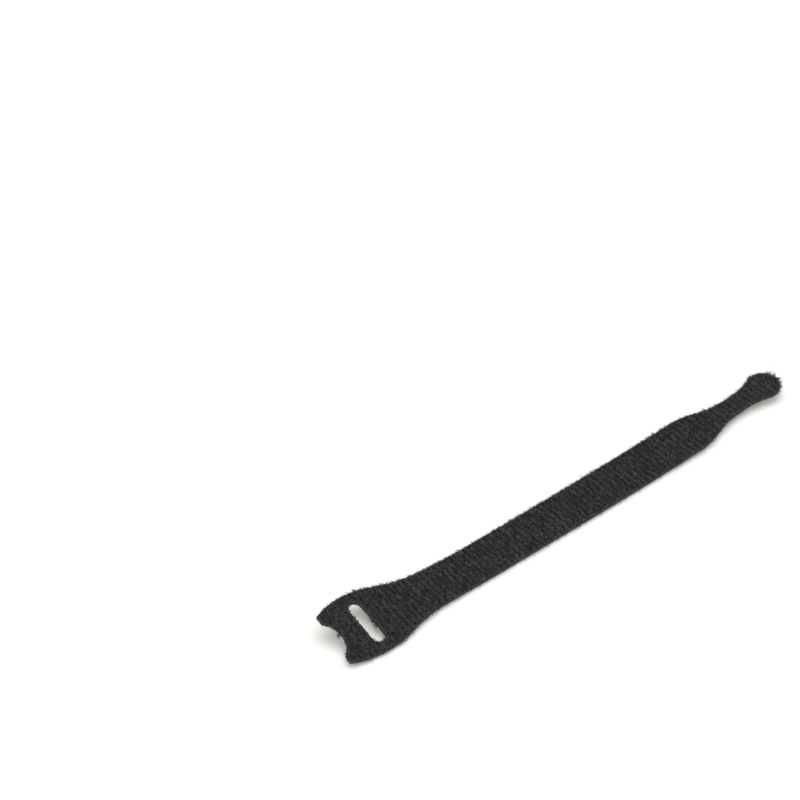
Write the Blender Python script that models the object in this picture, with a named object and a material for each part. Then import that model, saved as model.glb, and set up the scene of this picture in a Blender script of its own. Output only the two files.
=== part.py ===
"""Hook and loop cable tie: one woven strap with a slotted head, lying on its hook side.

The strap is woven flat and die cut to its outline, and has since taken a set: its head rolls up
from one edge, its tip curls up and it bows a little sideways. X runs from the head to the tip,
+Z is up, and the origin is in the middle of the flat run of the underside, on the surface that
the tie lies on.
"""
import bmesh
import bpy
from math import acos, cos, pi, radians, sin, sqrt
from mathutils import Vector

# Driving dimensions in metres, angles in degrees: the outline of the die cut strap
STRAP_LENGTH = 0.158
BODY_WIDTH = 0.0127
STRAP_THICKNESS = 0.0015

HEAD_WIDTH = 0.0195
HEAD_WIDEST_AT = 0.0114
HEAD_SIDE_RADIUS = 0.032
FLARE_RADIUS = 0.045

NOTCH_RADIUS = 0.0062
NOTCH_DEPTH = 0.0029

SLOT_LENGTH = 0.0134
SLOT_WIDTH = 0.0039
SLOT_FROM_END = 0.0113

SHOULDER_RADIUS = 0.0235
TAPER_RADIUS = 0.0275
NECK_WIDTH = 0.0059
NECK_STRAIGHT = 0.0025
TIP_RADIUS = 0.0046
TIP_FILLET_RADIUS = 0.0215

# The woven ribs that run across the loop side
RIB_PITCH = 0.00173
RIB_HEIGHT = 0.0003

# The set that the strap has taken
TWIST_LENGTH = 0.050
TWIST_ANGLE = 21.8
TWIST_EASE = 1.5
TIP_CURL_LENGTH = 0.066
TIP_CURL_ANGLE = 3.8
SIDE_BOW_RADIUS = 4.3

# Fineness of the curves
ARC_STEP = radians(3)
RIB_STEPS = 6
SLOT_END_STEPS = 12
SHARP_EDGE = radians(40)

STRAP_COLOUR = (0.036, 0.032, 0.036, 1.0)
STRAP_ROUGHNESS = 0.95


def clear_scene():
    """Remove the objects that are in the scene."""
    for item in list(bpy.data.objects):
        bpy.data.objects.remove(item, do_unlink=True)


def new_collection(name):
    """Make a collection and link it to the scene."""
    group = bpy.data.collections.new(name)
    bpy.context.scene.collection.children.link(group)
    return group


def strap_material():
    """Black nylon pile."""
    material = bpy.data.materials.new("black_nylon_pile")
    material.use_nodes = True
    shader = material.node_tree.nodes["Principled BSDF"]
    shader.inputs["Base Color"].default_value = STRAP_COLOUR
    shader.inputs["Roughness"].default_value = STRAP_ROUGHNESS
    shader.inputs["Metallic"].default_value = 0.0
    return material


def arc(centre, radius, start, end):
    """Points on an arc, both ends included, with angles in radians."""
    steps = max(2, round(abs(end - start) / ARC_STEP))
    angles = [start + (end - start) * i / steps for i in range(steps + 1)]
    return [(centre[0] + radius * cos(a), centre[1] + radius * sin(a)) for a in angles]


def blend_run(radius_a, radius_b, rise):
    """Length along the strap of two tangent arcs that together change the width by rise a side."""
    total = radius_a + radius_b
    return sqrt(total ** 2 - (total - rise) ** 2)


def blend_angle(radius_a, radius_b, rise):
    """Angle that each of two such arcs turns through."""
    return acos(1 - rise / (radius_a + radius_b))


def half_outline():
    """The +Y half of the outline, from the head's end to the tip, as (length, width) points."""
    half_head = HEAD_WIDTH / 2
    half_body = BODY_WIDTH / 2
    half_neck = NECK_WIDTH / 2

    # The head's side is one arc that starts on the end and blends into the flare
    flare_rise = half_head - half_body
    flare_turn = blend_angle(HEAD_SIDE_RADIUS, FLARE_RADIUS, flare_rise)
    flare_end = HEAD_WIDEST_AT + blend_run(HEAD_SIDE_RADIUS, FLARE_RADIUS, flare_rise)
    head_centre = (HEAD_WIDEST_AT, half_head - HEAD_SIDE_RADIUS)
    flare_centre = (flare_end, half_body + FLARE_RADIUS)
    corner_angle = acos(-HEAD_WIDEST_AT / HEAD_SIDE_RADIUS)
    side = arc(head_centre, HEAD_SIDE_RADIUS, corner_angle, pi / 2 - flare_turn)
    flare = arc(flare_centre, FLARE_RADIUS, -pi / 2 - flare_turn, -pi / 2)

    # The tail is set out backwards from the tip
    tip_centre = (STRAP_LENGTH - TIP_RADIUS, 0.0)
    tip_rise = TIP_RADIUS - half_neck
    tip_turn = blend_angle(TIP_RADIUS, TIP_FILLET_RADIUS, tip_rise)
    neck_end = tip_centre[0] - blend_run(TIP_RADIUS, TIP_FILLET_RADIUS, tip_rise)
    neck_start = neck_end - NECK_STRAIGHT
    taper_rise = half_body - half_neck
    taper_turn = blend_angle(SHOULDER_RADIUS, TAPER_RADIUS, taper_rise)
    shoulder_start = neck_start - blend_run(SHOULDER_RADIUS, TAPER_RADIUS, taper_rise)
    shoulder_centre = (shoulder_start, half_body - SHOULDER_RADIUS)
    taper_centre = (neck_start, half_neck + TAPER_RADIUS)
    fillet_centre = (neck_end, half_neck + TIP_FILLET_RADIUS)
    shoulder = arc(shoulder_centre, SHOULDER_RADIUS, pi / 2, pi / 2 - taper_turn)
    taper = arc(taper_centre, TAPER_RADIUS, -pi / 2 - taper_turn, -pi / 2)
    fillet = arc(fillet_centre, TIP_FILLET_RADIUS, -pi / 2, -pi / 2 + tip_turn)
    tip = arc(tip_centre, TIP_RADIUS, pi / 2 + tip_turn, 0.0)
    return side + flare[1:] + shoulder + taper[1:] + fillet + tip[1:]


def strap_outline():
    """The whole outline, with the arc of the notch in the head's end."""
    upper = half_outline()
    lower = [(along, -across) for along, across in reversed(upper[:-1])]
    notch_centre = (NOTCH_DEPTH - NOTCH_RADIUS, 0.0)
    reach = acos((NOTCH_RADIUS - NOTCH_DEPTH) / NOTCH_RADIUS)
    return upper + lower + arc(notch_centre, NOTCH_RADIUS, -reach, reach)


def slot_outline():
    """The round-ended slot that lies across the head."""
    radius = SLOT_WIDTH / 2
    reach = SLOT_LENGTH / 2 - radius
    points = []
    for side, start in ((1, 0.0), (-1, pi)):
        for i in range(SLOT_END_STEPS + 1):
            angle = start + pi * i / SLOT_END_STEPS
            points.append((SLOT_FROM_END + radius * cos(angle), side * reach + radius * sin(angle)))
    return points


def weave_profile():
    """The uncut strip seen from its side: flat underneath, with a rounded ridge for each rib."""
    first = -2
    last = round(STRAP_LENGTH / RIB_PITCH) + 2
    top = []
    for rib in range(first, last):
        for step in range(RIB_STEPS):
            phase = step / RIB_STEPS
            height = STRAP_THICKNESS - RIB_HEIGHT * (1 - sin(pi * phase))
            top.append(((rib + phase) * RIB_PITCH, height))
    underside = [(rib * RIB_PITCH, 0.0) for rib in range(last - 1, first - 1, -1)]
    return top + underside


def flat_solid(name, outlines, thickness, collection):
    """A closed mesh object from flat outlines, extruded both ways from its plane."""
    curve = bpy.data.curves.new(name + "_curve", "CURVE")
    curve.dimensions = "2D"
    curve.fill_mode = "BOTH"
    curve.extrude = thickness / 2
    for outline in outlines:
        spline = curve.splines.new("POLY")
        spline.points.add(len(outline) - 1)
        for point, (x, y) in zip(spline.points, outline):
            point.co = (x, y, 0.0, 1.0)
        spline.use_cyclic_u = True
    drawn = bpy.data.objects.new(name + "_curve", curve)
    collection.objects.link(drawn)
    bpy.context.view_layer.update()
    evaluated = drawn.evaluated_get(bpy.context.evaluated_depsgraph_get())
    mesh = bpy.data.meshes.new_from_object(evaluated)
    bpy.data.objects.remove(drawn, do_unlink=True)

    working = bmesh.new()
    working.from_mesh(mesh)
    bmesh.ops.remove_doubles(working, verts=working.verts, dist=1e-6)
    bmesh.ops.recalc_face_normals(working, faces=working.faces)
    working.to_mesh(mesh)
    working.free()
    solid = bpy.data.objects.new(name, mesh)
    collection.objects.link(solid)
    return solid


def lie(point):
    """Carry a point of the flat strap (length, width, height) to where the strap lies."""
    along, across, height = point
    curl_start = STRAP_LENGTH - TIP_CURL_LENGTH
    middle = (TWIST_LENGTH + curl_start) / 2

    # The middle line of the underside: flat, then an even curl up to the tip
    curl_radius = TIP_CURL_LENGTH / radians(TIP_CURL_ANGLE)
    slope = max(along - curl_start, 0.0) / curl_radius
    run = min(along, curl_start) + curl_radius * sin(slope)
    line = Vector((run - middle, 0.0, curl_radius * (1 - cos(slope))))

    # The head rolls up about its -Y edge, which stays on the surface
    roll = radians(TWIST_ANGLE) * max(1 - along / TWIST_LENGTH, 0.0) ** TWIST_EASE
    sideways = Vector((0.0, 1.0, 0.0))
    upwards = Vector((-sin(slope), 0.0, cos(slope)))
    rolled_sideways = sideways * cos(roll) + upwards * sin(roll)
    rolled_upwards = upwards * cos(roll) - sideways * sin(roll)
    half_head = HEAD_WIDTH / 2
    hinge = line - sideways * half_head
    straight = hinge + rolled_sideways * (across + half_head) + rolled_upwards * height

    # The whole strap bows sideways a little, both ends towards +Y
    bow = straight.x / SIDE_BOW_RADIUS
    reach = SIDE_BOW_RADIUS - straight.y
    return Vector((reach * sin(bow), SIDE_BOW_RADIUS - reach * cos(bow), straight.z))


def build_tie():
    """Weave the strip, cut it to its outline, and lay it in its set."""
    parts = new_collection("hook_and_loop_cable_tie")
    cutters = new_collection("cutters")

    strip = flat_solid("cable_tie", [weave_profile()], HEAD_WIDTH + 2 * RIB_PITCH, parts)
    for vertex in strip.data.vertices:
        x, y, z = vertex.co
        vertex.co = (x, -z, y)

    die = flat_solid("die", [strap_outline(), slot_outline()], 4 * STRAP_THICKNESS, cutters)
    die.hide_render = True
    die.display_type = "WIRE"
    cut = strip.modifiers.new("die_cut", "BOOLEAN")
    cut.operation = "INTERSECT"
    cut.object = die
    bpy.context.view_layer.update()
    evaluated = strip.evaluated_get(bpy.context.evaluated_depsgraph_get())
    flat_mesh = bpy.data.meshes.new_from_object(evaluated)
    strip.modifiers.clear()
    strip.data = flat_mesh

    working = bmesh.new()
    working.from_mesh(flat_mesh)
    bmesh.ops.triangulate(working, faces=working.faces)
    for vertex in working.verts:
        vertex.co = lie(vertex.co)
    working.to_mesh(flat_mesh)
    working.free()
    flat_mesh.materials.clear()
    flat_mesh.materials.append(strap_material())
    flat_mesh.shade_smooth()
    flat_mesh.set_sharp_from_angle(angle=SHARP_EDGE)
    return strip


clear_scene()
build_tie()
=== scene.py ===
"""Hook and loop cable tie, dressed: the ribbed ground cloth, its pile of loops, the cut edge with
its loose fibres, and the hooks underneath, lying on a pale floor."""
from math import cos, pi, radians, sin

import bpy
import numpy as np
from mathutils import Matrix, Vector, noise
from mathutils.geometry import delaunay_2d_cdt


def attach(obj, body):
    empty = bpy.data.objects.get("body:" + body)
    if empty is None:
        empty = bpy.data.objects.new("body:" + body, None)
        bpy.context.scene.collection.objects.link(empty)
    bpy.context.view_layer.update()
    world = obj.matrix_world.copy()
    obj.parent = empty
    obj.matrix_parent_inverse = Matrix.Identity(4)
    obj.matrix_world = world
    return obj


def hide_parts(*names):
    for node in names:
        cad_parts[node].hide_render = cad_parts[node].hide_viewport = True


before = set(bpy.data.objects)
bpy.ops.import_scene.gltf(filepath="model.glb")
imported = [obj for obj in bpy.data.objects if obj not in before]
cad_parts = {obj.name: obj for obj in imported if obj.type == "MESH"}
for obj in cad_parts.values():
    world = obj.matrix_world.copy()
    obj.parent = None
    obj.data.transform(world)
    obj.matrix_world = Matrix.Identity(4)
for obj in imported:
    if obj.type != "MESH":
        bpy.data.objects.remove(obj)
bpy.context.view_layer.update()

MM = 0.001

# The flat strap and the set it has taken, as the CAD has them (metres, degrees)
STRAP_LENGTH = 0.158
HEAD_WIDTH = 0.0195
RIB_PITCH = 0.00173
TWIST_LENGTH = 0.050
TWIST_ANGLE = 21.8
TWIST_EASE = 1.5
TIP_CURL_LENGTH = 0.066
TIP_CURL_ANGLE = 3.8
SIDE_BOW_RADIUS = 4.3

CURL_START = STRAP_LENGTH - TIP_CURL_LENGTH
CURL_RADIUS = TIP_CURL_LENGTH / radians(TIP_CURL_ANGLE)
MIDDLE = (TWIST_LENGTH + CURL_START) / 2
HALF_HEAD = HEAD_WIDTH / 2

# The cloth
GRID_STEP = 0.28 * MM
EDGE_STEP = 0.22 * MM
HOOK_BASE = 0.38 * MM
GROUND_VALLEY = 0.98 * MM
RIDGE_HEIGHT = 0.42 * MM
EDGE_ROLL = 0.30 * MM
EDGE_DROP = 0.08 * MM
EDGE_CALM = 0.90 * MM
EDGE_PALE = 0.75 * MM
WALL_ROWS = (0.25, 0.5, 0.78)

# Grid rows that are this share of a step apart make even triangles
TRIANGLE_ROW = 0.866

# The ribs: how far they wander and how narrow a groove is, in shares of a rib, and how much of
# them is lost to plain pile on the body, the head and the tip
RIB_WANDER = 0.34
RIB_WAVER = 0.16
GROOVE_NARROWNESS = 1.6
PLAIN_LEVEL = 0.52
BODY_PLAIN = 0.12
HEAD_PLAIN = 0.50
TIP_PLAIN = 0.30

# How light a place on the cloth is (painted crest light, random tufts, nearness to the cut) before
# it takes the crest's colour
CREST_FROM = 0.48

# The pile: numbers, then lengths and radii in millimetres
LOOP_COUNT = 19000
LONG_FIBRE_COUNT = 1500
EDGE_FIBRE_COUNT = 4800

LOOP_LEAN = 0.13
LOOP_HALF_SPAN = (0.10, 0.24)
LOOP_RISE = (0.10, 0.26)
LOOP_RADIUS = (0.036, 0.070)
LONG_FIBRE_LENGTH = (0.9, 2.6)
LONG_FIBRE_LIFT = (0.10, 0.30)
LONG_FIBRE_RADIUS = (0.024, 0.044)
FINE_HAIR_RADIUS = (0.032, 0.054)
STOUT_HAIR_RADIUS = (0.050, 0.080)
TORN_HAIR_RADIUS = (0.040, 0.075)
HAIR_REACH = (0.12, 0.60)

STOUT_SHARE = 0.28
STOUT_REACH = 1.5
TONE_JITTER = 0.52
DARK_UNDER = -0.12
LIGHT_OVER = 0.36

# The four points of a loop, in shares of its half span, its rise and its lean
LOOP_SPREAD = (-0.80, -0.62, 0.62, 0.80)
LOOP_CLIMB = (-0.35, 0.85, 0.85, -0.35)
LOOP_SWAY = (0.0, 0.8, 0.8, 0.0)

# The four points of a cut hair, in shares of its reach, its drift and its thickness
HAIR_SHARE = (-0.25, 0.35, 0.75, 1.0)
HAIR_BOW = (0.0, 0.15, 0.55, 1.0)
HAIR_TAPER = (1.0, 0.95, 0.85, 0.55)

PILE_SPECULAR = 0.33

# The hooks underneath
HOOK_STEP_ALONG = RIB_PITCH / 2
HOOK_STEP_ACROSS = 0.92 * MM
HOOK_MARGIN = 0.12 * MM

# A hook from its root to its tip, along the strap and up, and its radius, in millimetres
HOOK_BEND = ((0.0, 0.56), (0.0, 0.34), (0.02, 0.17), (0.10, 0.07), (0.22, 0.07), (0.31, 0.15),
             (0.33, 0.22))
HOOK_RADIUS = (0.10, 0.075, 0.065, 0.06, 0.055, 0.05, 0.035)

# The camera, fitted to the photograph, which is 800 pixels wide
FOCAL_PIXELS = 4500.0
PHOTO_SIZE = 800.0
PIXELS_PER_MM = 3.765
CAMERA_ELEVATION = 42.23
CAMERA_TURN = 40.08
ORIGIN_PIXEL = (539.2, 528.8)
SENSOR_WIDTH = 36.0

# The room, the key light and the floor
ROOM_LIGHT = (0.66, 0.66, 0.66)
ROOM_SHOWS = (1.0, 1.0, 1.0)
KEY_ENERGY = 1.09
KEY_SPREAD = 55
KEY_ELEVATION = 84
KEY_COLOUR = (1.0, 0.995, 0.985)
FLOOR_HALF_SIZE = 3
FLOOR_LIGHTS = (0.80, 0.80, 0.80)
FLOOR_SHOWS = (1.0, 0.998, 0.994)
FLOOR_NO_GLOW = (0.0, 0.0, 0.0)
FLOOR_GLOW = (0.145, 0.140, 0.118)

# Tolerances for reading the CAD outline
SAME_POINT = 5e-6
FLAT_WITHIN = 2e-5
SHORTEST_EDGE = 0.03 * MM
BATCH = 2000


def roll_at(along):
    """Angle that the head has rolled up through at a place along the strap."""
    return radians(TWIST_ANGLE) * np.maximum(1 - along / TWIST_LENGTH, 0.0) ** TWIST_EASE


def lie(points):
    """Carry flat points (length, width, height) to where the strap lies."""
    along, across, height = points[..., 0], points[..., 1], points[..., 2]
    slope = np.maximum(along - CURL_START, 0.0) / CURL_RADIUS
    run = np.minimum(along, CURL_START) + CURL_RADIUS * np.sin(slope) - MIDDLE
    lift = CURL_RADIUS * (1 - np.cos(slope))
    roll = roll_at(along)
    side = (across + HALF_HEAD) * np.cos(roll) - height * np.sin(roll)
    up = (across + HALF_HEAD) * np.sin(roll) + height * np.cos(roll)
    bow = (run - up * np.sin(slope)) / SIDE_BOW_RADIUS
    reach = SIDE_BOW_RADIUS - side + HALF_HEAD
    return np.stack([reach * np.sin(bow), SIDE_BOW_RADIUS - reach * np.cos(bow),
                     lift + up * np.cos(slope)], -1)


def flatten(points):
    """The inverse of lie."""
    across = SIDE_BOW_RADIUS - points[:, 1]
    x = SIDE_BOW_RADIUS * np.arctan2(points[:, 0], across) + MIDDLE
    y = SIDE_BOW_RADIUS - np.hypot(points[:, 0], across) + HALF_HEAD
    z = points[:, 2]
    roll = roll_at(x)
    out = np.maximum(x - CURL_START, 0.0)
    reach = np.hypot(out, CURL_RADIUS - z)
    curled = out > 0
    along = np.where(curled, CURL_START + CURL_RADIUS * np.arctan2(out, CURL_RADIUS - z), x)
    across = np.where(curled, y, y * np.cos(roll) + z * np.sin(roll)) - HALF_HEAD
    height = np.where(curled, CURL_RADIUS - reach, z * np.cos(roll) - y * np.sin(roll))
    return np.stack([along, across, height], -1)


def cad_outlines(node):
    """The cut outline and the slot as flat loops, from the underside of the CAD solid."""
    mesh = node.data
    mesh.calc_loop_triangles()
    flat = flatten(np.array([v.co for v in mesh.vertices]))
    keys = [tuple(k) for k in np.round(flat / SAME_POINT).astype(int)]
    place = {key: point for key, point in zip(keys, flat)}
    edges = set()
    for triangle in mesh.loop_triangles:
        corners = [keys[i] for i in triangle.vertices]
        if all(abs(place[c][2]) < FLAT_WITHIN for c in corners):
            for a, b in zip(corners, corners[1:] + corners[:1]):
                if a != b:
                    edges.add((a, b))
    rim = {a: b for a, b in edges if (b, a) not in edges}
    loops = []
    while rim:
        start = next(iter(sorted(rim)))
        loop = [start]
        step = rim.pop(start)
        while step != start and step in rim:
            loop.append(step)
            step = rim.pop(step)
        loops.append(np.array([place[k][:2] for k in loop]))
    loops.sort(key=len, reverse=True)
    return [wound(loop, 1 if i == 0 else -1) for i, loop in enumerate(loops[:2])]


def wound(loop, way):
    """The loop turned anticlockwise for way 1, clockwise for way -1."""
    after = np.roll(loop, -1, axis=0)
    area = np.sum(loop[:, 0] * after[:, 1] - after[:, 0] * loop[:, 1])
    return loop if area * way > 0 else loop[::-1]


def resample(loop, step):
    """The loop with a point at most every step, its corners kept."""
    out = []
    for a, b in zip(loop, np.roll(loop, -1, axis=0)):
        length = np.hypot(*(b - a))
        if length < SHORTEST_EDGE:
            continue
        count = max(1, int(np.ceil(length / step)))
        out += [a + (b - a) * i / count for i in range(count)]
    return np.array(out)


def inside(points, loops):
    """Which points lie inside the outer loop and outside the slot."""
    odd = np.zeros(len(points), bool)
    x, y = points[:, 0], points[:, 1]
    for loop in loops:
        for (ax, ay), (bx, by) in zip(loop, np.roll(loop, -1, axis=0)):
            if ay == by:
                continue
            crosses = (ay > y) != (by > y)
            odd ^= crosses & (x < ax + (y - ay) * (bx - ax) / (by - ay))
    return odd


def to_rim(points, rim):
    """Distance from each point to the nearest rim point."""
    out = np.empty(len(points))
    for i in range(0, len(points), BATCH):
        part = points[i:i + BATCH, None, :] - rim[None, :, :]
        out[i:i + BATCH] = np.sqrt((part ** 2).sum(-1).min(1))
    return out


def noise_at(x, y, size_x, size_y, seed):
    """Smooth noise from about -1 to 1 over the flat strap."""
    return np.array([noise.noise((a / size_x, b / size_y, seed)) for a, b in zip(x, y)])


def ridges(x, y):
    """The ribs, from 0 in a valley to 1 on a crest: wavy, broken, and plainer at both ends."""
    phase = x / RIB_PITCH + RIB_WANDER * noise_at(x, y, 5 * MM, 2.0 * MM, 3.1)
    phase += RIB_WAVER * noise_at(x, y, 1.4 * MM, 0.9 * MM, 8.4)
    row = np.round(phase)
    groove = (0.5 - 0.5 * np.cos(2 * pi * phase)) ** GROOVE_NARROWNESS
    broken = noise_at(row * 7.31 * MM, y, 1.0 * MM, 1.7 * MM, 5.7)
    calm = np.clip((x - 10 * MM) / (10 * MM), 0, 1)
    crests = (1 - groove) * np.clip(0.62 + 0.10 * calm + 0.80 * broken, 0.10, 0.70 + 0.30 * calm)
    plain = HEAD_PLAIN * np.clip((22 * MM - x) / (10 * MM), 0, 1)
    plain += TIP_PLAIN * np.clip((x - 134 * MM) / (8 * MM), 0, 1)
    return crests + (PLAIN_LEVEL - crests) * (BODY_PLAIN + plain)


def clumps(x, y):
    """How light the pile is at a place, from about -1 to 1, in tufts a few loops wide."""
    return (1.3 * noise_at(x, y, 0.22 * MM, 0.28 * MM, 14.3)
            + 0.6 * noise_at(x, y, 0.8 * MM, 1.3 * MM, 2.9))


def ground_height(x, y, edge):
    """Top of the ground cloth, edge being the distance to the cut."""
    lumps = 0.09 * MM * noise_at(x, y, 0.60 * MM, 0.60 * MM, 1.7)
    roll_off = EDGE_DROP * np.clip(1 - edge / EDGE_ROLL, 0, 1) ** 2
    level = 0.6 + (ridges(x, y) - 0.6) * np.clip(edge / EDGE_CALM, 0.4, 1)
    return GROUND_VALLEY + RIDGE_HEIGHT * level + lumps - roll_off


def new_object(name, verts, faces, materials, face_materials=None):
    """A mesh object from arrays; faces is a list of (count, corners) index arrays."""
    mesh = bpy.data.meshes.new(name)
    mesh.vertices.add(len(verts))
    mesh.vertices.foreach_set("co", np.asarray(verts, np.float32).ravel())
    sizes = np.concatenate([np.full(len(f), f.shape[1]) for f in faces])
    corners = np.concatenate([f.ravel() for f in faces])
    mesh.loops.add(len(corners))
    mesh.loops.foreach_set("vertex_index", corners.astype(np.int32))
    mesh.polygons.add(len(sizes))
    starts = np.concatenate([[0], np.cumsum(sizes)[:-1]])
    mesh.polygons.foreach_set("loop_start", starts.astype(np.int32))
    mesh.update(calc_edges=True)
    for material in materials:
        mesh.materials.append(material)
    if face_materials is not None:
        mesh.polygons.foreach_set("material_index", np.asarray(face_materials, np.int32))
    mesh.polygons.foreach_set("use_smooth", np.full(len(sizes), True))
    mesh.validate()
    item = bpy.data.objects.new(name, mesh)
    bpy.context.scene.collection.objects.link(item)
    return item


def tubes(name, paths, radii, sides, materials, reference, kinds=None):
    """One mesh of closed tubes: paths is (tube, point, 3), radii (tube, point), kinds (tube)."""
    count, points, _ = paths.shape
    tangent = np.gradient(paths, axis=1)
    tangent /= np.linalg.norm(tangent, axis=-1, keepdims=True) + 1e-12
    first = np.cross(tangent, reference[:, None, :])
    first /= np.linalg.norm(first, axis=-1, keepdims=True) + 1e-12
    second = np.cross(tangent, first)
    angles = 2 * pi * np.arange(sides) / sides
    ring = (first[:, :, None, :] * np.cos(angles)[:, None]
            + second[:, :, None, :] * np.sin(angles)[:, None])
    verts = paths[:, :, None, :] + ring * radii[:, :, None, None]
    index = np.arange(count * points * sides).reshape(count, points, sides)
    after = np.roll(index, -1, axis=2)
    quads = np.stack([index[:, :-1], after[:, :-1], after[:, 1:], index[:, 1:]], -1)
    caps = np.concatenate([index[:, 0, ::-1], index[:, -1, :]])
    if kinds is not None:
        kinds = np.concatenate([np.repeat(kinds, (points - 1) * sides), kinds, kinds])
    return new_object(name, verts.reshape(-1, 3), [quads.reshape(-1, 4), caps], materials, kinds)


def dress(piece):
    """Every piece of the strap rides on the one body."""
    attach(piece, "root")
    return piece


# Materials

def nodes_of(material):
    material.use_nodes = True
    tree = material.node_tree
    return tree, tree.nodes["Principled BSDF"]


def speckled(name, dark, mid, light, fine, coarse, roughness, sheen):
    """Cloth or filament whose colour varies with two sizes of noise."""
    material = bpy.data.materials.new(name)
    tree, shader = nodes_of(material)
    place = tree.nodes.new("ShaderNodeTexCoord")
    small = tree.nodes.new("ShaderNodeTexNoise")
    small.inputs["Scale"].default_value = fine
    small.inputs["Detail"].default_value = 3.0
    large = tree.nodes.new("ShaderNodeTexNoise")
    large.inputs["Scale"].default_value = coarse
    large.inputs["Detail"].default_value = 2.0
    blend = tree.nodes.new("ShaderNodeMath")
    blend.operation = "MULTIPLY_ADD"
    blend.inputs[1].default_value = 0.7
    offset = tree.nodes.new("ShaderNodeMath")
    offset.operation = "MULTIPLY"
    offset.inputs[1].default_value = 0.3
    ramp = tree.nodes.new("ShaderNodeValToRGB")
    ramp.color_ramp.elements[0].position = 0.36
    ramp.color_ramp.elements[0].color = (*dark, 1)
    ramp.color_ramp.elements[1].position = 0.66
    ramp.color_ramp.elements[1].color = (*light, 1)
    middle = ramp.color_ramp.elements.new(0.5)
    middle.color = (*mid, 1)
    rough = tree.nodes.new("ShaderNodeMapRange")
    rough.inputs["To Min"].default_value = roughness - 0.12
    rough.inputs["To Max"].default_value = roughness + 0.12
    link = tree.links.new
    link(place.outputs["Object"], small.inputs["Vector"])
    link(place.outputs["Object"], large.inputs["Vector"])
    link(small.outputs["Fac"], blend.inputs[0])
    link(large.outputs["Fac"], offset.inputs[0])
    link(offset.outputs[0], blend.inputs[2])
    link(blend.outputs[0], ramp.inputs["Fac"])
    link(ramp.outputs["Color"], shader.inputs["Base Color"])
    link(small.outputs["Fac"], rough.inputs["Value"])
    link(rough.outputs["Result"], shader.inputs["Roughness"])
    shader.inputs["Specular IOR Level"].default_value = PILE_SPECULAR
    shader.inputs["Sheen Weight"].default_value = sheen
    shader.inputs["Sheen Roughness"].default_value = 0.5
    shader.inputs["Sheen Tint"].default_value = (0.9, 0.86, 0.92, 1)
    return material


def background(tree, socket, lights, shows):
    """Drive a colour socket: one colour as a light, another to the camera, mirrors and glass."""
    rays = tree.nodes.new("ShaderNodeLightPath")
    mix = tree.nodes.new("ShaderNodeMix")
    mix.data_type = "RGBA"
    mix.inputs["A"].default_value = (*lights, 1)
    mix.inputs["B"].default_value = (*shows, 1)
    seen = rays.outputs["Is Camera Ray"]
    for name in ("Is Glossy Ray", "Is Transmission Ray"):
        either = tree.nodes.new("ShaderNodeMath")
        either.operation = "MAXIMUM"
        tree.links.new(seen, either.inputs[0])
        tree.links.new(rays.outputs[name], either.inputs[1])
        seen = either.outputs[0]
    tree.links.new(seen, mix.inputs["Factor"])
    tree.links.new(mix.outputs["Result"], socket)


def floor_material():
    """Pale paper that shows a little brighter to the camera than it lights the strap."""
    material = bpy.data.materials.new("pale_floor")
    tree, shader = nodes_of(material)
    shader.inputs["Roughness"].default_value = 1.0
    shader.inputs["Specular IOR Level"].default_value = 0.0
    shader.inputs["Emission Strength"].default_value = 1.0
    background(tree, shader.inputs["Base Color"], FLOOR_LIGHTS, FLOOR_SHOWS)
    background(tree, shader.inputs["Emission Color"], FLOOR_NO_GLOW, FLOOR_GLOW)
    return material


# Three tones of pile: the loops take them by painted shade in the grooves and painted light on the
# crests, mixed with random tone; the long and edge fibres take them at random
pile_dark = speckled("pile_dark", (0.003, 0.0025, 0.003), (0.009, 0.0075, 0.009),
                     (0.021, 0.018, 0.021), 1500, 380, 0.70, 0.02)
pile_mid = speckled("pile_mid", (0.017, 0.0143, 0.017), (0.042, 0.0355, 0.042),
                    (0.080, 0.068, 0.080), 1500, 380, 0.60, 0.08)
pile_light = speckled("pile_light", (0.060, 0.052, 0.060), (0.120, 0.105, 0.119),
                      (0.200, 0.180, 0.198), 1500, 380, 0.55, 0.12)
pile_tones = [pile_dark, pile_mid, pile_light]
fringe = speckled("fringe", (0.030, 0.027, 0.029), (0.090, 0.083, 0.086),
                  (0.220, 0.205, 0.205), 1300, 420, 0.60, 0.15)
# The top of the cloth takes the darker ground_cloth in the ribs' grooves as painted shade, and the
# lighter crest colour on the crests as painted light, mixed with random tufts
cloth = speckled("ground_cloth", (0.003, 0.0026, 0.003), (0.009, 0.008, 0.009),
                 (0.022, 0.020, 0.022), 1800, 500, 0.85, 0.0)
cloth_crest_light_and_tone = speckled("ground_crest_light_and_tone", (0.012, 0.011, 0.012), (0.036, 0.032, 0.036),
                       (0.075, 0.067, 0.075), 1900, 520, 0.75, 0.05)
cut = speckled("cut_edge", (0.020, 0.018, 0.020), (0.050, 0.046, 0.050), (0.12, 0.112, 0.118),
               2400, 700, 0.70, 0.1)
hook_plastic = speckled("hook_nylon", (0.014, 0.013, 0.015), (0.024, 0.022, 0.025),
                        (0.045, 0.042, 0.046), 1800, 300, 0.42, 0.0)

# The ground cloth

random = np.random.default_rng(71)
outer, slot = [resample(loop, EDGE_STEP) for loop in cad_outlines(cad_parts["cable_tie"])]
rims = [outer, slot]
rim_points = np.concatenate(rims)

row_step = GRID_STEP * TRIANGLE_ROW
rows = np.arange(0, STRAP_LENGTH, row_step)
columns = np.arange(-HALF_HEAD, HALF_HEAD, GRID_STEP)
grid = np.array([(r, c + (GRID_STEP / 2 if i % 2 else 0)) for i, r in enumerate(rows)
                 for c in columns])
grid += random.uniform(-0.05, 0.05, grid.shape) * MM
grid = grid[inside(grid, rims)]
grid = grid[to_rim(grid, rim_points) > 0.6 * GRID_STEP]

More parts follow.
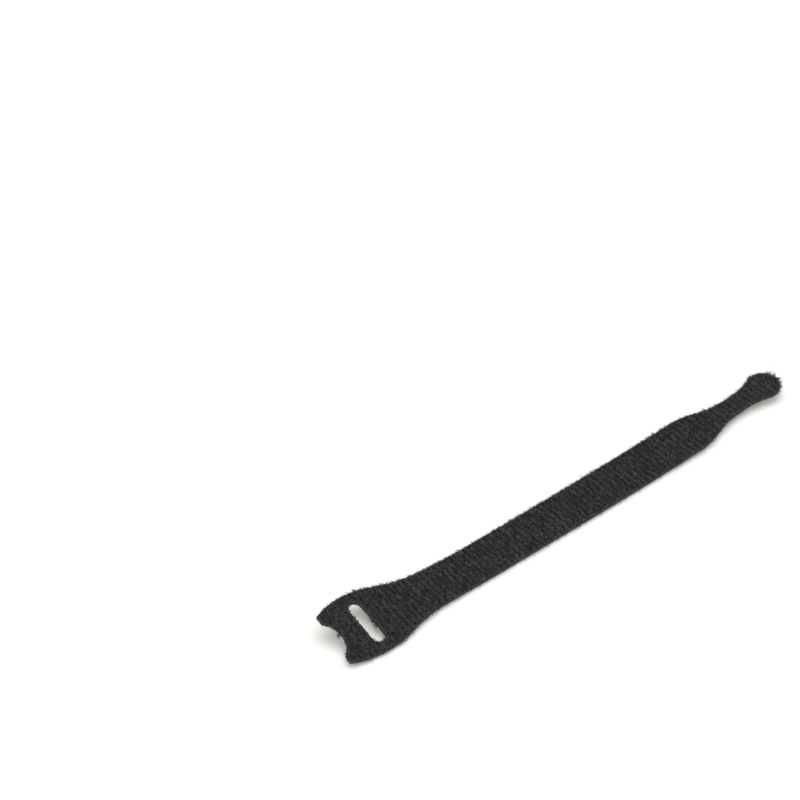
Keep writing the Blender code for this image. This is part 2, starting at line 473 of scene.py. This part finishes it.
plan = np.concatenate([rim_points, grid])
ring_edges = []
first = 0
for rim in rims:
    ring_edges += [(first + i, first + (i + 1) % len(rim)) for i in range(len(rim))]
    first += len(rim)
cut_plan = delaunay_2d_cdt([Vector(p / MM) for p in plan], ring_edges, [], 0, 1e-5)
flat_points = np.array([tuple(v) for v in cut_plan[0]]) * MM
triangles = np.array([f for f in cut_plan[2] if len(f) == 3])
middle_points = flat_points[triangles].mean(1)
triangles = triangles[inside(middle_points, rims)]
a, b, c = (flat_points[triangles[:, i]] for i in range(3))
turn = (b[:, 0] - a[:, 0]) * (c[:, 1] - a[:, 1]) - (b[:, 1] - a[:, 1]) * (c[:, 0] - a[:, 0])
triangles[turn < 0] = triangles[turn < 0][:, ::-1]

edge_distance = to_rim(flat_points, rim_points)
x, y = flat_points.T
top = ground_height(x, y, edge_distance)
base = HOOK_BASE + 0.02 * MM * noise_at(x, y, 0.5 * MM, 0.5 * MM, 9.2)
count = len(flat_points)
layers = [np.column_stack([flat_points, top]), np.column_stack([flat_points, base])]

# The cut wall, a little ragged, joins the top to the base
used = {}
for edge in np.concatenate([triangles[:, [0, 1]], triangles[:, [1, 2]], triangles[:, [2, 0]]]):
    used[tuple(edge)] = True
rim_edges = np.array([e for e in used if (e[1], e[0]) not in used])
rim_index = np.unique(rim_edges)
after = {e[0]: e[1] for e in rim_edges}
before = {e[1]: e[0] for e in rim_edges}
way = flat_points[[after[i] for i in rim_index]] - flat_points[[before[i] for i in rim_index]]
way /= np.linalg.norm(way, axis=1, keepdims=True)
outwards = np.stack([way[:, 1], -way[:, 0]], 1)
wall_start = 2 * count
for k, share in enumerate(WALL_ROWS):
    spot = flat_points[rim_index]
    ragged = 0.045 * MM * noise_at(spot[:, 0], spot[:, 1], 0.4 * MM, 0.4 * MM, 20.0 + 3 * k)
    ragged += random.uniform(-0.015, 0.015, len(spot)) * MM
    height = top[rim_index] * (1 - share) + base[rim_index] * share
    layers.append(np.column_stack([spot + outwards * ragged[:, None], height]))
slot_of = {i: k for k, i in enumerate(rim_index)}
wall = []
for i, j in rim_edges:
    up = [i] + [wall_start + k * len(rim_index) + slot_of[i] for k in range(len(WALL_ROWS))]
    up.append(count + i)
    down = [j] + [wall_start + k * len(rim_index) + slot_of[j] for k in range(len(WALL_ROWS))]
    down.append(count + j)
    for k in range(len(up) - 1):
        wall.append((up[k], up[k + 1], down[k + 1], down[k]))
wall = np.array(wall)
faces = [triangles, triangles[:, ::-1] + count, wall]
# Top faces on the ribs' crests take the lighter crest colour, painted light, and those in the
# grooves keep the darker cloth, painted shade; random tufts and the nearness of the cut shift the
# choice
face_middle = flat_points[triangles].mean(1)
crest_light_and_tone = ridges(face_middle[:, 0], face_middle[:, 1])
crest_light_and_tone += 0.35 * clumps(face_middle[:, 0], face_middle[:, 1])
crest_light_and_tone += 0.5 * np.clip(1 - edge_distance[triangles].mean(1) / EDGE_PALE, 0, 1)
kinds = np.concatenate([np.where(crest_light_and_tone > CREST_FROM, 3, 0), np.full(len(triangles), 2),
                        np.full(len(wall), 1)])
ground = new_object("ground_cloth", lie(np.concatenate(layers)), faces,
                    [cloth, cut, hook_plastic, cloth_crest_light_and_tone], kinds)
dress(ground)
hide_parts("cable_tie")


# The pile of loops

def scatter(count, margin, weight):
    """Flat places at least margin inside the cut, more of them where weight is high."""
    kept = np.empty((0, 2))
    while len(kept) < count:
        tries = np.column_stack([random.uniform(0, STRAP_LENGTH, 4 * count),
                                 random.uniform(-HALF_HEAD, HALF_HEAD, 4 * count)])
        tries = tries[inside(tries, rims)]
        tries = tries[to_rim(tries, rim_points) > margin]
        tries = tries[random.uniform(0, 1, len(tries)) < weight(tries)]
        kept = np.concatenate([kept, tries])
    return kept[:count]


def unit(angle):
    return np.stack([np.cos(angle), np.sin(angle)], -1)


def tone(crest, clump, edge, jitter):
    """Which of the three tones a loop has: painted shade in a groove, painted light on a crest,
    random tufts and jitter, lighter at the cut.
    """
    # The crest term is painted light on the crests and painted shade in the grooves; clump and
    # jitter are random tone
    shade = 0.70 * (crest - 0.50) + 0.70 * clump + jitter
    shade += 0.45 * np.clip(1 - edge / EDGE_PALE, 0, 1)
    return np.where(shade < DARK_UNDER, 0, np.where(shade > LIGHT_OVER, 2, 1))


def pile_weight(places):
    """Pile stands on the ribs and, brushed out, all along the cut."""
    near_cut = np.clip(1.3 - to_rim(places, rim_points) / EDGE_PALE, 0, 1)
    return 0.05 + 0.95 * np.maximum(ridges(places[:, 0], places[:, 1]), near_cut)


spots = scatter(LOOP_COUNT, 0.02 * MM, pile_weight)
crest = ridges(spots[:, 0], spots[:, 1])
spot_edge = to_rim(spots, rim_points)
foot = ground_height(spots[:, 0], spots[:, 1], spot_edge)
facing = random.uniform(0, 2 * pi, LOOP_COUNT)
lean = random.normal(0, LOOP_LEAN, (LOOP_COUNT, 2)) * MM
half_span = random.uniform(*LOOP_HALF_SPAN, LOOP_COUNT) * MM
clump = clumps(spots[:, 0], spots[:, 1])
rise = random.uniform(*LOOP_RISE, LOOP_COUNT) + 0.06 * crest + 0.10 * clump
rise = rise.clip(0.06, 0.45) * MM
along_loop = unit(facing)
loop_paths = np.empty((LOOP_COUNT, 4, 3))
for k in range(4):
    loop_paths[:, k, :2] = (spots + along_loop * (half_span * LOOP_SPREAD[k])[:, None]
                            + lean * LOOP_SWAY[k])
    loop_paths[:, k, 2] = foot + rise * LOOP_CLIMB[k]
loop_paths = lie(loop_paths)
loop_radii = np.repeat(random.uniform(*LOOP_RADIUS, LOOP_COUNT)[:, None], 4, 1) * MM
loop_kinds = tone(crest, clump, spot_edge, random.normal(0, TONE_JITTER, LOOP_COUNT))
plane = np.column_stack([-along_loop[:, 1], along_loop[:, 0], np.zeros(LOOP_COUNT)])
half = LOOP_COUNT // 2
for name, part in (("loop_pile_a", slice(0, half)), ("loop_pile_b", slice(half, None))):
    dress(tubes(name, loop_paths[part], loop_radii[part], 3, pile_tones, plane[part],
                loop_kinds[part]))

# Longer filaments that wander across the strap along the ribs
starts = scatter(LONG_FIBRE_COUNT, 0.3 * MM, pile_weight)
STEPS = 9
heading = np.where(random.uniform(0, 1, LONG_FIBRE_COUNT) < 0.5, 1, -1) * pi / 2
heading = heading + random.normal(0, 0.45, LONG_FIBRE_COUNT)
length = random.uniform(*LONG_FIBRE_LENGTH, LONG_FIBRE_COUNT) * MM
fibre_plan = np.empty((LONG_FIBRE_COUNT, STEPS, 2))
fibre_plan[:, 0] = starts
for k in range(1, STEPS):
    heading = heading + random.normal(0, 0.35, LONG_FIBRE_COUNT)
    fibre_plan[:, k] = fibre_plan[:, k - 1] + unit(heading) * (length / (STEPS - 1))[:, None]
ends_in = inside(fibre_plan.reshape(-1, 2), rims).reshape(-1, STEPS).all(1)
fibre_plan = fibre_plan[ends_in]
flat_fibre = fibre_plan.reshape(-1, 2)
lay = ground_height(flat_fibre[:, 0], flat_fibre[:, 1], to_rim(flat_fibre, rim_points))
lay = lay.reshape(-1, STEPS) + random.uniform(*LONG_FIBRE_LIFT, (len(fibre_plan), STEPS)) * MM
lay[:, 0] -= 0.3 * MM
lay[:, -1] -= 0.3 * MM
fibre_paths = lie(np.concatenate([fibre_plan, lay[:, :, None]], -1))
fibre_radii = random.uniform(*LONG_FIBRE_RADIUS, len(fibre_plan))
fibre_radii = np.repeat(fibre_radii[:, None], STEPS, 1) * MM
upright = np.tile([0.12, 0.05, 1.0], (len(fibre_plan), 1))
fibre_kinds = random.choice(3, len(fibre_plan), p=(0.20, 0.45, 0.35))
dress(tubes("long_fibres", fibre_paths, fibre_radii, 3, pile_tones, upright, fibre_kinds))

# Short fibres that stick out all along the cut, and torn ones where the photograph shows them:
# flat place in mm, how many, their spread along the cut, their reach and their lift
TORN = (
    (13.2, -0.6, 20, 0.35, 1.20, 0.2), (13.2, -2.1, 18, 0.40, 1.35, -0.1),
    (13.2, -3.8, 10, 0.90, 0.50, 0.0), (2.9, 0.6, 20, 0.45, 1.60, -0.3),
    (2.6, -1.8, 14, 0.80, 0.65, 0.1), (0.0, -6.8, 14, 0.70, 0.60, 0.2),
    (158.0, 1.0, 12, 0.60, 1.90, 0.3), (157.9, -0.9, 12, 0.50, 1.60, 0.1),
    (157.0, -3.2, 14, 0.80, 1.10, 0.2), (157.3, 2.8, 12, 0.90, 1.00, 0.4),
    (138.4, 3.9, 5, 0.20, 1.00, 0.5), (24.2, 7.6, 5, 0.90, 0.80, 0.6),
    (60.0, 6.35, 4, 0.50, 0.75, 0.5), (95.0, 6.35, 4, 0.60, 0.70, 0.6),
)
rim_flat = flat_points[rim_index]
fuzz = np.where(rim_flat[:, 0] < 14 * MM, 0.35, 1.0)
pick = random.choice(len(rim_index), EDGE_FIBRE_COUNT, p=fuzz / fuzz.sum())
depth = random.uniform(0.0, 1.0, EDGE_FIBRE_COUNT) ** 1.6
reach = random.gamma(2.0, 0.15, EDGE_FIBRE_COUNT).clip(*HAIR_REACH) * MM
stout = random.uniform(0, 1, EDGE_FIBRE_COUNT) < STOUT_SHARE
thick_hair = np.where(stout, random.uniform(*STOUT_HAIR_RADIUS, EDGE_FIBRE_COUNT),
                      random.uniform(*FINE_HAIR_RADIUS, EDGE_FIBRE_COUNT))
reach = reach * np.where(stout, STOUT_REACH, 1.0)
lift = np.full(EDGE_FIBRE_COUNT, 0.35)
for along, across, number, spread_mm, reach_mm, lift_share in TORN:
    off = np.hypot(*(rim_flat - np.array([along, across]) * MM).T)
    near = np.flatnonzero(off < off.min() + spread_mm * MM)
    pick = np.concatenate([pick, random.choice(near, number)])
    depth = np.concatenate([depth, random.uniform(0.0, 0.6, number)])
    reach = np.concatenate([reach, random.uniform(0.45, 1.0, number) * reach_mm * MM])
    thick_hair = np.concatenate([thick_hair, random.uniform(*TORN_HAIR_RADIUS, number)])
    lift = np.concatenate([lift, np.full(number, lift_share)])
hairs = len(pick)
root = rim_flat[pick]
outward = outwards[pick]
sideways = np.stack([-outward[:, 1], outward[:, 0]], 1)
rim_top = top[rim_index[pick]]
height = rim_top + 0.10 * MM - depth * (rim_top - HOOK_BASE)
drift = random.normal(0, 0.6, (hairs, 2))
hair = np.empty((hairs, 4, 3))
for k in range(4):
    hair[:, k, :2] = (root + outward * (reach * HAIR_SHARE[k])[:, None]
                      + sideways * (reach * drift[:, 0] * HAIR_BOW[k])[:, None])
    hair[:, k, 2] = height + reach * (lift + 0.5 * drift[:, 1]) * HAIR_BOW[k]
hair[:, :, 2] = np.maximum(hair[:, :, 2], 0.06 * MM)
hair_radii = np.array(HAIR_TAPER) * thick_hair[:, None] * MM
hair_kinds = random.choice(4, hairs, p=(0.15, 0.30, 0.25, 0.30))
dress(tubes("edge_fibres", lie(hair), hair_radii, 3, pile_tones + [fringe],
            np.tile([0.2, 0.1, 1.0], (hairs, 1)), hair_kinds))

# The hooks underneath, in pairs of rows that face alternate ways
hook_rows = np.arange(HOOK_STEP_ALONG / 2, STRAP_LENGTH, HOOK_STEP_ALONG)
hook_columns = np.arange(-HALF_HEAD, HALF_HEAD, HOOK_STEP_ACROSS)
feet = np.array([(r, c + (HOOK_STEP_ACROSS / 2 if i % 2 else 0), 1 if (i // 2) % 2 else -1)
                 for i, r in enumerate(hook_rows) for c in hook_columns])
feet = feet[inside(feet[:, :2], rims)]
feet = feet[to_rim(feet[:, :2], rim_points) > HOOK_MARGIN]
feet[:, :2] += random.normal(0, 0.02, (len(feet), 2)) * MM
bend = np.array(HOOK_BEND) * MM
hooks = np.empty((len(feet), len(bend), 3))
hooks[:, :, 0] = feet[:, 0:1] + bend[None, :, 0] * feet[:, 2:3]
hooks[:, :, 1] = feet[:, 1:2]
hooks[:, :, 2] = bend[None, :, 1]
thick = np.tile(np.array(HOOK_RADIUS), (len(feet), 1)) * MM
dress(tubes("hooks", lie(hooks), thick, 4, [hook_plastic],
            np.tile([0.0, 1.0, 0.0], (len(feet), 1))))

# The floor
floor_mesh = bpy.data.meshes.new("floor")
floor_corners = [(x_side * FLOOR_HALF_SIZE, y_side * FLOOR_HALF_SIZE, 0)
                 for x_side, y_side in ((-1, -1), (1, -1), (1, 1), (-1, 1))]
floor_mesh.from_pydata(floor_corners, [], [(0, 1, 2, 3)])
floor_mesh.materials.append(floor_material())
floor = bpy.data.objects.new("floor", floor_mesh)
bpy.context.scene.collection.objects.link(floor)

# Camera
turn_angle, lift_angle = radians(CAMERA_TURN), radians(CAMERA_ELEVATION)
right = Vector((cos(turn_angle), -sin(turn_angle), 0.0))
away = Vector((sin(turn_angle), cos(turn_angle), 0.0))
forward = away * cos(lift_angle) - Vector((0, 0, 1)) * sin(lift_angle)
upward = away * sin(lift_angle) + Vector((0, 0, 1)) * cos(lift_angle)
distance = FOCAL_PIXELS / PIXELS_PER_MM * MM
slide = (ORIGIN_PIXEL[0] - PHOTO_SIZE / 2) * distance / FOCAL_PIXELS
drop = (ORIGIN_PIXEL[1] - PHOTO_SIZE / 2) * distance / FOCAL_PIXELS
camera_data = bpy.data.cameras.new("camera")
camera_data.sensor_width = SENSOR_WIDTH
camera_data.lens = FOCAL_PIXELS / PHOTO_SIZE * camera_data.sensor_width
camera = bpy.data.objects.new("camera", camera_data)
axes = Matrix((right, upward, -forward)).transposed()
camera.matrix_world = Matrix.Translation(
    -forward * distance - right * slide + upward * drop) @ axes.to_4x4()
bpy.context.scene.collection.objects.link(camera)
bpy.context.scene.camera = camera

# Light: an even pale room and a soft light above and behind
world = bpy.data.worlds.new("room")
bpy.context.scene.world = world
world.use_nodes = True
room = world.node_tree.nodes["Background"]
room.inputs["Strength"].default_value = 1.0
background(world.node_tree, room.inputs["Color"], ROOM_LIGHT, ROOM_SHOWS)

sun_data = bpy.data.lights.new("soft_key", "SUN")
sun_data.energy = KEY_ENERGY
sun_data.angle = radians(KEY_SPREAD)
sun_data.color = KEY_COLOUR
sun = bpy.data.objects.new("soft_key", sun_data)
key_lift = radians(KEY_ELEVATION)
key_way = -(away * cos(key_lift) + Vector((0, 0, 1)) * sin(key_lift))
sun.rotation_euler = key_way.to_track_quat("-Z", "Y").to_euler()
bpy.context.scene.collection.objects.link(sun)

bpy.context.scene.view_settings.view_transform = "Standard"
